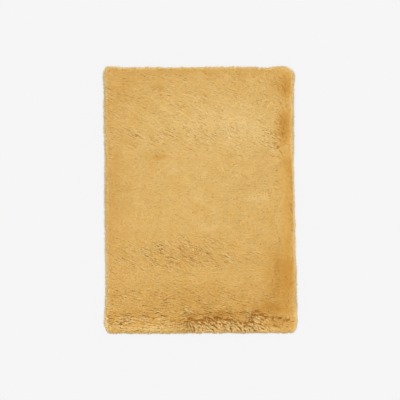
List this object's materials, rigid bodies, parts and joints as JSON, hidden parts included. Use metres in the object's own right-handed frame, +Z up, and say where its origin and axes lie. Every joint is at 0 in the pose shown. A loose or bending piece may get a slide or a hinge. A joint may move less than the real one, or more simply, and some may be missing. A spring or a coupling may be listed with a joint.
{
  "type": "plush area rug",
  "caption": "Flat rectangular rug of long, soft, plain mustard pile with round corners, cut from one panel of plush cloth, pile falling over the edges to the floor.",
  "frame": {"origin": "on the floor under the middle of the rug", "axes": "+X across the rug to its right side as seen from above, +Y along it to its far end, +Z up out of the pile"},
  "size_m": [1.252, 1.7212, 0.0286],
  "materials": {
    "plush_pile": "long soft mustard pile, matt with a slight sheen",
    "ground_cloth": "plain knitted ground of the pile cloth, matt"
  },
  "bodies": {
    "root": {"plush_rug": "plush_pile"}
  },
  "joints": []
}
